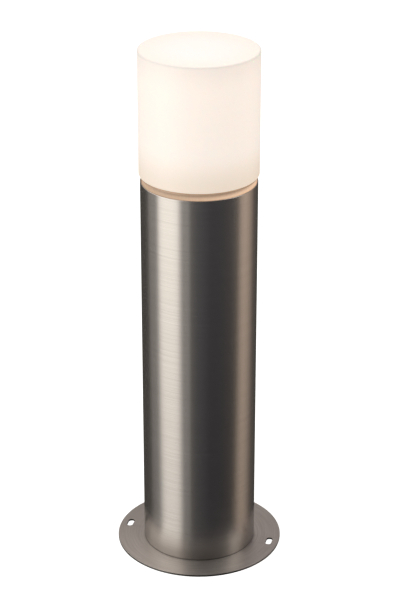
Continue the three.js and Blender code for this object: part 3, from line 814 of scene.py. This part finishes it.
def drilled_ring(node, edge):
    low, high = box_mm(node)
    holes = [circle(M4_HOLE, *polar(SCREW_CIRCLE, angle)) for angle in SCREW_ANGLES]
    loops = [circle(high.x, segments=FINE), circle(RING_BORE, segments=FINE)] + holes
    stand_for(flat_form(node + "_form", loops, low.z, high.z, edge), node)


def boss(radius, top, at):
    """A post rooted in the casting's floor."""
    root = FLOOR_TOP - 1.5
    points = [(0.0, root, 0.0), (radius, root, 0.0), (radius, top, 0.4), (0.0, top, 0.0)]
    return turned_object("boss", points, SMALL, False, 3, at)


def head_casting():
    low, high = box_mm("head_casting")
    skirt, ledge, neck, spigot, inside = 62.75, 445.0, 61.5, 62.25, 60.0
    flange, flange_bottom, flange_top = 64.4, 456.75, 458.5
    groove, groove_bottom, groove_top = 61.0, 468.5, 472.0
    points = [
        (0.0, low.z, 0.0),
        (skirt, low.z, 0.6),
        (skirt, ledge, 0.4),
        (neck, ledge, 0.3),
        (neck, flange_bottom, 0.3),
        (flange, flange_bottom, 0.4),
        (flange, flange_top, 0.4),
        (spigot, flange_top, 0.25),
        (spigot, groove_bottom, 0.15),
        (groove, groove_bottom, 0.3),
        (groove, groove_top, 0.3),
        (spigot, groove_top, 0.15),
        (spigot, high.z, 0.7),
        (inside, high.z, 0.5),
        (inside, FLOOR_TOP, 2.0),
        (0.0, FLOOR_TOP, 0.0),
    ]
    piece = turned_object("head_casting_form", points, FINE, False)
    bosses = [boss(BOSS_RADIUS, BOSS_TOP, polar(BOSS_CIRCLE, angle)) for angle in BOSS_ANGLES]
    bosses.append(boss(EARTH_BOSS_RADIUS, LUG_Z, EARTH_AT))
    combined(piece, "UNION", bosses)
    below, above = CASTING_BOTTOM - PAST, FLOOR_TOP + PAST
    blind = CASTING_BOTTOM + 1.0
    holes = [(*polar(BOSS_CIRCLE, a), M3_HOLE, BOSS_TOP - 10, BOSS_TOP + PAST)
             for a in BOSS_ANGLES]
    holes += [(*polar(SCREW_CIRCLE, a), M4_HOLE, below, above) for a in SCREW_ANGLES]
    holes += [(0.0, side * BRACKET_SCREW_Y, M4_HOLE, blind - 0.25, above) for side in (-1, 1)]
    holes += [
        (GLAND_X, 0.0, GLAND_HOLE, below, above),
        (*EARTH_AT, M4_HOLE, blind, LUG_Z + PAST),
        (*BLOCK_SCREW_AT, M3_HOLE, blind, above),
    ]
    stand_for(drilled(piece, holes), "head_casting")


drilled_ring("support_ring", 0.2)
drilled_ring("casting_seal", 0.25)
head_casting()


# ---- Screws --------------------------------------------------------------------------------

THREAD_PITCH = 0.7
THREAD_ROOT = 0.84  # of the shank's radius
# Head radius and height, shank radius and reach, socket radius.
HEAD_SCREW = (3.5, 2.5, 2.0, 10.25, 1.5)
REFLECTOR_SCREW = (2.75, 1.75, 1.5, 9.0, 1.1)
BRACKET_SCREW = (3.5, 2.25, 2.0, 3.5, 1.5)
HOLDER_SCREW = (2.75, 1.5, 1.5, 8.0, 1.1)
BLOCK_SCREW = (2.75, 1.75, 1.5, 16.5, 1.1)
EARTH_SCREW = (3.8, 2.5, 2.0, 5.5, 1.5)
# What the heads lie on.
REFLECTOR_TOP = BOSS_TOP + 1.25
BRACKET_FOOT_TOP = FLOOR_TOP + 1.5
BRACKET_UNDERSIDE = 452.2
BLOCK_TOP = FLOOR_TOP + 14.75
WASHER_TOP = LUG_Z + 2.0
HOLDER_SCREW_Y = 11.0


def button_screw(node, at, size, upside_down=False):
    """A domed screw with a hexagon recess and a ridged shank; its head sits on the point at."""
    head, head_height, shank, reach, socket = size
    root = shank * THREAD_ROOT
    points = [(0.0, -reach, 0.0), (shank * 0.7, -reach, 0.0)]
    depth = -reach + 0.3
    while depth + THREAD_PITCH < -0.5:
        points.append((root, depth, 0.0))
        points.append((shank, depth + THREAD_PITCH / 2, 0.0))
        depth += THREAD_PITCH
    points += [
        (root, depth, 0.0),
        (root, 0.0, 0.0),
        (head, 0.0, 0.12),
        (head, head_height * 0.45, head_height * 0.2),
        (head * 0.62, head_height, head_height * 0.3),
        (0.0, head_height, 0.0),
    ]
    piece = turned_object(node + "_form", points, SMALL, False, 3)
    recess = prism(
        "recess", circle(socket, segments=6), head_height * 0.4, head_height + PAST
    )
    combined(piece, "DIFFERENCE", [recess])
    stand_for(placed(piece, *at, upside_down), node)


def add_screws():
    for i, (screw_angle, boss_angle) in enumerate(zip(SCREW_ANGLES, BOSS_ANGLES), 1):
        at = (*polar(SCREW_CIRCLE, screw_angle), FLOOR_TOP)
        button_screw(f"head_screw_{i}", at, HEAD_SCREW)
        at = (*polar(BOSS_CIRCLE, boss_angle), REFLECTOR_TOP)
        button_screw(f"reflector_screw_{i}", at, REFLECTOR_SCREW)
    for i, side in enumerate((-1, 1), 1):
        at = (0.0, side * BRACKET_SCREW_Y, BRACKET_FOOT_TOP)
        button_screw(f"bracket_screw_{i}", at, BRACKET_SCREW)
        at = (0.0, side * HOLDER_SCREW_Y, BRACKET_UNDERSIDE)
        button_screw(f"holder_screw_{i}", at, HOLDER_SCREW, True)
    button_screw("terminal_fixing_screw", (*BLOCK_SCREW_AT, BLOCK_TOP), BLOCK_SCREW)
    button_screw("earth_screw", (*EARTH_AT, WASHER_TOP), EARTH_SCREW)


add_screws()


# ---- Reflector plate and lampholder --------------------------------------------------------

ENTRY_X = 13.0  # where the leads end in the lampholder
ENTRY_Z = 459.0
LIVE_Y = 7.0
NEUTRAL_Y = -3.0
LEAD_HOLE = 1.5


def reflector_plate():
    low, high = box_mm("reflector_plate")
    outer, hole, sheet = high.x, 20.5, 1.25
    points = [
        (hole, low.z, 0.3),
        (outer, low.z, 1.4),
        (outer, high.z, 0.4),
        (outer - sheet, high.z, 0.4),
        (outer - sheet, low.z + sheet, 0.8),
        (hole, low.z + sheet, 0.3),
    ]
    piece = turned_object("reflector_plate_form", points, FINE, True)
    bottom, top = low.z - PAST, low.z + 3.0
    holes = [(*polar(BOSS_CIRCLE, a), M3_HOLE, bottom, top) for a in BOSS_ANGLES]
    stand_for(drilled(piece, holes), "reflector_plate")


def lampholder_body():
    """Porcelain with a shallow waist, a socket, two blind screw holes and two lead entries."""
    low, high = box_mm("lampholder_body")
    radius, cavity, cavity_floor = high.x, 14.75, 463.5
    waist = radius - 0.8
    points = [
        (0.0, low.z, 0.0),
        (radius, low.z, 1.2),
        (radius, low.z + 9.0, 0.5),
        (waist, low.z + 9.8, 0.3),
        (waist, low.z + 22.0, 0.3),
        (radius, low.z + 22.8, 0.5),
        (radius, high.z, 1.6),
        (cavity, high.z, 0.8),
        (cavity, cavity_floor, 0.6),
        (0.0, cavity_floor, 0.0),
    ]
    piece = turned_object("lampholder_body_form", points, MEDIUM, False)
    bottom, top = low.z - PAST, low.z + 8.0
    drilled(piece, [(0.0, s * HOLDER_SCREW_Y, M3_HOLE, bottom, top) for s in (-1, 1)])
    start = ENTRY_X - PAST
    entries = []
    for y in (LIVE_Y, NEUTRAL_Y):
        entry = prism("entry", circle(LEAD_HOLE), 0.0, radius + PAST - start)
        entry.data.transform(Matrix.Rotation(math.pi / 2, 4, "Y"))
        entries.append(placed(entry, start, y, ENTRY_Z))
    stand_for(combined(piece, "DIFFERENCE", entries), "lampholder_body")


def lampholder_shell():
    outer, wall, hole, bottom, top, flange = 14.3, 0.7, 7.0, 464.0, 484.0, 0.7
    points = [
        (hole, bottom, 0.2),
        (outer, bottom, 0.6),
        (outer, top, 0.3),
        (outer - wall, top, 0.3),
        (outer - wall, bottom + flange, 0.4),
        (hole, bottom + flange, 0.2),
    ]
    turned_piece("lampholder_shell", points, MEDIUM)


reflector_plate()
lampholder_body()
lampholder_shell()
refined("lampholder_contact", 0.12)
refined("lampholder_bracket", 0.25)


# ---- Lamp ----------------------------------------------------------------------------------

CAP_RADIUS = 13.1
CAP_WALL = 0.5
CAP_MOUTH = 8.4
CAP_BOTTOM = 472.25
CAP_TOP = 491.0
CAP_STEPS = 72
CAP_PITCH = 3.0
CAP_THREAD = (474.5, 488.0)  # where the thread starts and ends
THREAD_DEPTH = 0.45
THREAD_FADE = 1.5
HOUSING_BORE = 9.1
HOUSING_WALL = 1.8
HOUSING_STEPS = 24
FLUTES = 36
FLUTE_STEPS = 6
FLUTE_DEPTH = 0.35


def lamp_contact():
    points = [
        (0.0, 466.75, 0.0),
        (2.6, 466.75, 1.2),
        (4.6, 467.7, 0.4),
        (4.6, 468.25, 0.0),
        (0.0, 468.25, 0.0),
    ]
    turned_piece("lamp_contact", points, SMALL, False)


def lamp_insulator():
    points = [
        (0.0, 468.25, 0.0),
        (5.5, 468.25, 0.4),
        (8.0, 472.0, 0.0),
        (8.0, 473.25, 0.2),
        (12.0, 473.75, 0.0),
        (12.0, 477.25, 0.3),
        (0.0, 477.25, 0.0),
    ]
    turned_piece("lamp_insulator", points, MEDIUM, False)


def lamp_cap():
    """A rolled screw thread: the wall waves in and out along a helix."""
    tall = CAP_TOP - CAP_BOTTOM
    wall = [CAP_BOTTOM + tall * k / CAP_STEPS for k in range(6, CAP_STEPS + 1)]
    outside = [(CAP_RADIUS - 1.2, CAP_BOTTOM)] + [(CAP_RADIUS, z) for z in wall]
    inside = [(CAP_RADIUS - CAP_WALL, z) for z in reversed(wall)]
    profile = [(CAP_MOUTH, CAP_BOTTOM)] + outside + inside + [(CAP_MOUTH, CAP_BOTTOM + 0.4)]
    verts, faces = turned(profile, MEDIUM, True)
    start, end = CAP_THREAD
    shaped = []
    for i, (x, y, z) in enumerate(verts):
        turn = (i % MEDIUM) / MEDIUM
        fade = min(1.0, max(0.0, (z - start) / THREAD_FADE), max(0.0, (end - z) / THREAD_FADE))
        wave = 0.5 - 0.5 * math.cos(2 * math.pi * ((z - start) / CAP_PITCH - turn))
        radius = math.hypot(x, y)
        pull = (radius - THREAD_DEPTH * wave * fade) / radius
        shaped.append((x * pull, y * pull, z))
    mesh_piece("lamp_cap", shaped, faces)


def lamp_housing():
    """The plastic skirt between cap and globe, with a flowing outline and fine flutes."""
    low, high = box_mm("lamp_housing")
    tall = high.z - low.z
    neck = CAP_RADIUS + 0.6
    curve = []
    for k in range(HOUSING_STEPS + 1):
        share = k / HOUSING_STEPS
        eased = share * share * (3 - 2 * share)
        flare = (high.x - neck - 0.6) * eased ** 1.15
        curve.append((neck + 0.6 * min(1.0, 5 * share) + flare, low.z + tall * share))
    ledge = low.z + 2
    inner = [(max(r - HOUSING_WALL, HOUSING_BORE), z) for r, z in curve if z > ledge][::-1]
    profile = [(HOUSING_BORE, low.z)] + curve + inner + [(HOUSING_BORE, ledge)]
    segments = FLUTES * FLUTE_STEPS
    outside = (len(curve) + 1) * segments
    verts, faces = turned(profile, segments, True)
    shaped = []
    for i, (x, y, z) in enumerate(verts):
        band = math.sin(math.pi * min(1.0, max(0.0, ((z - low.z) / tall - 0.12) / 0.7)))
        wave = max(0.0, math.cos(2 * math.pi * (i % FLUTE_STEPS) / FLUTE_STEPS))
        depth = FLUTE_DEPTH * wave * max(0.0, band) if i < outside else 0.0
        pull = 1.0 - depth / math.hypot(x, y)
        shaped.append((x * pull, y * pull, z))
    mesh_piece("lamp_housing", shaped, faces)


def lamp_globe():
    """A hollow sphere cut off where it meets the housing's mouth."""
    radius, centre, mouth_z, wall, steps = 30.0, 540.5, 522.0, 1.0, 48
    low = math.asin((mouth_z - centre) / radius)
    angles = [low + (math.pi / 2 - low) * k / steps for k in range(steps + 1)]

    def arc(r):
        points = [(r * math.cos(a), centre + r * math.sin(a)) for a in angles]
        return points[:-1] + [(0.0, centre + r)]

    profile = arc(radius - wall)[::-1] + arc(radius)
    mesh_piece("lamp_globe", *turned(profile, MEDIUM, False))


lamp_contact()
lamp_insulator()
lamp_cap()
lamp_housing()
lamp_globe()
refined("lamp_led_board", 0.15)


# ---- Cable gland, terminal block, earth terminal and leads ----------------------------------

HEX_RADIUS = 12.5
HEX_CHAMFER = 0.9
GLAND_THREAD = 9.75
GLAND_BORE = 5.0
GLAND_PITCH = 1.0
GLAND_TOP = FLOOR_TOP + 6.0
GRIPS = 12
WIRE_RADIUS = 1.1
LEAD_START = 35.7
POLE_Z = 448.5
POLE_Y = 10.0


def hex_nut(name, bottom, top):
    """A hexagon with the corners of both faces turned off."""
    nut = prism(name, circle(HEX_RADIUS, segments=6), bottom, top)
    across = HEX_RADIUS * math.cos(math.radians(30))
    points = [
        (0.0, bottom, 0.0),
        (across, bottom, 0.0),
        (HEX_RADIUS + 0.5, bottom + HEX_CHAMFER, 0.0),
        (HEX_RADIUS + 0.5, top - HEX_CHAMFER, 0.0),
        (across, top, 0.0),
        (0.0, top, 0.0),
    ]
    return combined(nut, "INTERSECT", [turned_object("chamfer", points, MEDIUM, False)])


def gland_body():
    body = hex_nut("gland_body_form", CASTING_BOTTOM - 5, CASTING_BOTTOM)
    height = CASTING_BOTTOM - 1
    ridges = [(0.0, height, 0.0)]
    while height < GLAND_TOP - 0.6:
        ridges.append((GLAND_THREAD - GLAND_PITCH / 2, height, 0.0))
        ridges.append((GLAND_THREAD, height + GLAND_PITCH / 2, 0.0))
        height += GLAND_PITCH
    ridges += [(GLAND_THREAD - 0.6, GLAND_TOP, 0.0), (0.0, GLAND_TOP, 0.0)]
    lower = [
        (0.0, CASTING_BOTTOM - 14, 0.0),
        (GLAND_THREAD - 1, CASTING_BOTTOM - 14, 0.4),
        (GLAND_THREAD - 1, CASTING_BOTTOM - 4, 0.0),
        (0.0, CASTING_BOTTOM - 4, 0.0),
    ]
    tools = [turned_object("part", points, MEDIUM, False) for points in (ridges, lower)]
    combined(body, "UNION", tools)
    drilled(body, [(0.0, 0.0, GLAND_BORE, CASTING_BOTTOM - 15, GLAND_TOP + PAST)])
    stand_for(placed(body, GLAND_X, 0.0, 0.0), "gland_body")


def gland_locknut():
    top = FLOOR_TOP + 4
    nut = hex_nut("gland_locknut_form", FLOOR_TOP, top)
    drilled(nut, [(0.0, 0.0, GLAND_HOLE, FLOOR_TOP - PAST, top + PAST)])
    stand_for(placed(nut, GLAND_X, 0.0, 0.0), "gland_locknut")


def gland_dome_nut():
    low, high = box_mm("gland_dome_nut")
    radius, inner = 11.5, 9.05
    points = [
        (GLAND_BORE, low.z, 0.4),
        (radius - 3.0, low.z, 1.0),
        (radius, low.z + 4, 1.5),
        (radius, high.z, 0.4),
        (inner, high.z, 0.3),
        (inner, low.z + 4, 0.3),
        (GLAND_BORE, low.z + 1, 0.0),
    ]
    dome = turned_object("gland_dome_nut_form", points, MEDIUM, True)
    centres = [polar(radius + 0.7, 360 / GRIPS * k) for k in range(GRIPS)]
    grips = [prism("grip", circle(1.2, *at), low.z + 4.5, high.z + PAST) for at in centres]
    combined(dome, "DIFFERENCE", grips)
    stand_for(placed(dome, GLAND_X, 0.0, 0.0), "gland_dome_nut")


def lead(node, points):
    """A round wire along a smooth curve through the points."""
    curve = bpy.data.curves.new(node, "CURVE")
    curve.dimensions = "3D"
    curve.bevel_depth = WIRE_RADIUS * MM
    curve.bevel_resolution = 4
    curve.use_fill_caps = True
    spline = curve.splines.new("BEZIER")
    spline.bezier_points.add(len(points) - 1)
    for bend, point in zip(spline.bezier_points, points):
        bend.co = Vector(point) * MM
        bend.handle_left_type = bend.handle_right_type = "AUTO"
    mesh = drawn_mesh(node + "_form", curve)
    close_seams(mesh)
    stand_for(add_object(node + "_form", mesh), node)


def add_leads():
    """From the terminals: two up into the lampholder and one to the earth lug's barrel."""
    lead("lead_live", [
        (LEAD_START, POLE_Y, POLE_Z), (31.0, POLE_Y, POLE_Z), (27.5, 9.6, 450.1),
        (25.0, 8.6, 453.9), (22.3, 7.5, 457.9), (18.8, LIVE_Y, ENTRY_Z),
        (ENTRY_X, LIVE_Y, ENTRY_Z),
    ])
    lead("lead_neutral", [
        (LEAD_START, 0.0, POLE_Z), (31.0, 0.0, POLE_Z), (27.5, -0.5, 450.1),
        (25.2, -1.5, 453.9), (22.8, -2.5, 457.7), (19.2, NEUTRAL_Y, ENTRY_Z),
        (ENTRY_X, NEUTRAL_Y, ENTRY_Z),
    ])
    lug_x, wire_z = EARTH_AT[0], LUG_Z + 2
    lead("lead_earth", [
        (LEAD_START, -POLE_Y, POLE_Z), (31.5, -POLE_Y, POLE_Z), (28.0, -11.2, 448.3),
        (26.2, -14.5, 447.7), (lug_x, -19.0, 446.7), (lug_x, -23.0, wire_z),
        (lug_x, -27.0, wire_z),
    ])


gland_body()
gland_locknut()
gland_dome_nut()
refined("gland_seal", 0.3)
refined("terminal_block", 0.4)
for number in range(1, 4):
    refined(f"terminal_insert_{number}", 0.15)
for number in range(1, 7):
    refined(f"terminal_screw_{number}", 0.1)
refined("earth_lug", 0.15)
refined("earth_washer", 0.15)
add_leads()


# ---- Studio --------------------------------------------------------------------------------

def add_floor():
    """A pale floor just under the plate. The metal's reflections and the bounced light leave
    it out, because the world stands for it there."""
    half, drop = 30.0, 0.0002
    mesh = bpy.data.meshes.new("floor")
    corners = [(-half, -half, 0.0), (half, -half, 0.0), (half, half, 0.0), (-half, half, 0.0)]
    mesh.from_pydata(corners, [], [[0, 1, 2, 3]])
    floor = add_object("floor", mesh)
    floor.location.z = -drop
    material, n = new_material("pale_floor")
    shader = n.add("ShaderNodeBsdfDiffuse", {"Color": rgb(0.9, 0.9, 0.89)})
    light = n.add("ShaderNodeEmission", {"Color": rgb(1.0, 1.0, 1.0), "Strength": 0.85})
    both = n.add("ShaderNodeAddShader", {0: shader.outputs[0], 1: light.outputs[0]})
    n.add("ShaderNodeOutputMaterial", {"Surface": both.outputs[0]})
    mesh.materials.append(material)
    floor.visible_glossy = False
    floor.visible_diffuse = False


# What the metal sees round the studio, by the bearing from the camera's side in degrees, with
# the left negative. In level and downward directions: a bright panel on the left with a dimmer
# one on each side of it, a warm dim panel on the right, and dark between and behind.
LOW_PANELS = [
    (-180, (0.06, 0.055, 0.05)),
    (-126, (0.075, 0.07, 0.065)),
    (-117, (0.10, 0.095, 0.09)),
    (-111, (0.26, 0.24, 0.225)),
    (-92, (0.28, 0.265, 0.25)),
    (-87, (0.50, 0.48, 0.45)),
    (-82, (1.02, 0.97, 0.91)),
    (-74, (1.20, 1.14, 1.06)),
    (-52, (1.19, 1.13, 1.05)),
    (-43, (1.06, 1.01, 0.94)),
    (-37, (0.62, 0.59, 0.56)),
    (-32, (0.30, 0.285, 0.27)),
    (-21, (0.30, 0.285, 0.27)),
    (-16, (0.14, 0.135, 0.13)),
    (-4, (0.092, 0.090, 0.094)),
    (22, (0.054, 0.052, 0.057)),
    (44, (0.053, 0.051, 0.055)),
    (66, (0.060, 0.056, 0.056)),
    (78, (0.10, 0.083, 0.072)),
    (89, (0.40, 0.32, 0.265)),
    (98, (0.50, 0.40, 0.325)),
    (109, (0.44, 0.35, 0.285)),
    (119, (0.30, 0.24, 0.20)),
    (131, (0.12, 0.10, 0.09)),
    (150, (0.07, 0.065, 0.06)),
    (180, (0.06, 0.055, 0.05)),
]
# In upward directions: bright on both sides, dim in front, in between behind.
HIGH_PANELS = [
    (-180, (0.53, 0.485, 0.465)),
    (-158, (0.46, 0.42, 0.385)),
    (-138, (0.66, 0.62, 0.57)),
    (-122, (1.20, 1.13, 1.06)),
    (-92, (1.38, 1.30, 1.22)),
    (-46, (1.20, 1.13, 1.06)),
    (-28, (0.28, 0.27, 0.26)),
    (0, (0.12, 0.117, 0.115)),
    (40, (0.12, 0.115, 0.112)),
    (64, (0.25, 0.235, 0.22)),
    (74, (1.30, 1.24, 1.15)),
    (94, (1.30, 1.24, 1.15)),
    (108, (0.33, 0.30, 0.29)),
    (135, (0.26, 0.235, 0.235)),
    (162, (0.36, 0.325, 0.325)),
    (180, (0.53, 0.485, 0.465)),
]


def panel_ramp(n, turn, panels):
    ramp = n.add("ShaderNodeValToRGB", {0: turn})
    stops = ramp.color_ramp.elements
    while len(stops) < len(panels):
        stops.new(0.5)
    for stop, (degrees, colour) in zip(stops, panels):
        stop.position = (degrees + 180) / 360
        stop.color = rgb(*colour)
    return ramp.outputs[0]


def sine(degrees):
    return math.sin(math.radians(degrees))


def add_world():
    """Matt surfaces get soft white light, more of it from the left and from above. Glossy rays
    see the panels: the low ones brighten up to the horizon, and the high ones take over
    between 8 and 22 degrees above it and dim a little towards the zenith."""
    world = bpy.data.worlds.new("studio")
    world.use_nodes = True
    world.cycles.sampling_method = "NONE"
    bpy.context.scene.world = world
    n = Nodes(world.node_tree)
    way = n.add("ShaderNodeTexCoord").outputs["Generated"]
    along = n.along(way, TO_CAMERA)
    across = n.along(way, TO_RIGHT)
    height = n.add("ShaderNodeSeparateXYZ", {0: way}).outputs[2]
    turn = n.mapped(n.math("ARCTAN2", across, along), -math.pi, math.pi, 0.0, 1.0, smooth=False)
    low_gain = n.mapped(height, sine(-50), sine(0), 0.62, 1.45, smooth=False)
    high_gain = n.mapped(height, sine(36), sine(72), 1.0, 0.8)
    low = n.scaled(panel_ramp(n, turn, LOW_PANELS), low_gain)
    high = n.scaled(panel_ramp(n, turn, HIGH_PANELS), high_gain)
    seen = n.mix(n.mapped(height, sine(8), sine(22), 0.0, 1.0), low, high)
    side = n.mapped(across, -0.9, 0.9, 0.36, 0.21, smooth=False)
    soft = n.math("ADD", side, n.mapped(height, 0.0, 1.0, 0.0, 0.36, smooth=False))
    matt = n.scaled((1.0, 0.985, 0.965), soft)
    glossy = n.add("ShaderNodeLightPath").outputs["Is Glossy Ray"]
    colour = n.mix(glossy, matt, seen)
    background = n.add("ShaderNodeBackground", {"Color": colour, "Strength": 1.0})
    n.add("ShaderNodeOutputWorld", {"Surface": background.outputs[0]})


def add_softbox(name, bearing, distance, height, size, colour, power):
    """A large soft light for matt surfaces, aimed at the middle of the object. Its bearing is
    counted as the panels' is. Glossy rays don't see it: the world's panels stand for it."""
    data = bpy.data.lights.new(name, "AREA")
    data.shape = "RECTANGLE"
    data.size, data.size_y = size
    data.energy = power
    data.color = colour
    light = bpy.data.objects.new(name, data)
    turn = math.radians(bearing)
    side = TO_CAMERA * math.cos(turn) + TO_RIGHT * math.sin(turn)
    light.location = side * distance + Vector((0.0, 0.0, height))
    target = Vector((0.0, 0.0, 0.4))
    light.rotation_euler = (target - light.location).to_track_quat("-Z", "Y").to_euler()
    light.visible_glossy = False
    bpy.context.scene.collection.objects.link(light)


add_floor()
add_world()
add_softbox("key_softbox", -62, 2.2, 1.6, (1.2, 1.8), (1.0, 0.98, 0.96), 6.0)
add_softbox("warm_fill", 98, 2.2, 1.0, (0.8, 1.6), (1.0, 0.80, 0.62), 4.0)
bpy.context.scene.view_settings.view_transform = "Standard"
bpy.context.scene.view_settings.look = "None"

# Every CAD node still shown gets its procedural material.
for node_name, node_object in frame["nodes"].items():
    node_object.data.materials.clear()
    node_object.data.materials.append(MATERIALS[SLOT_OF[node_name]])
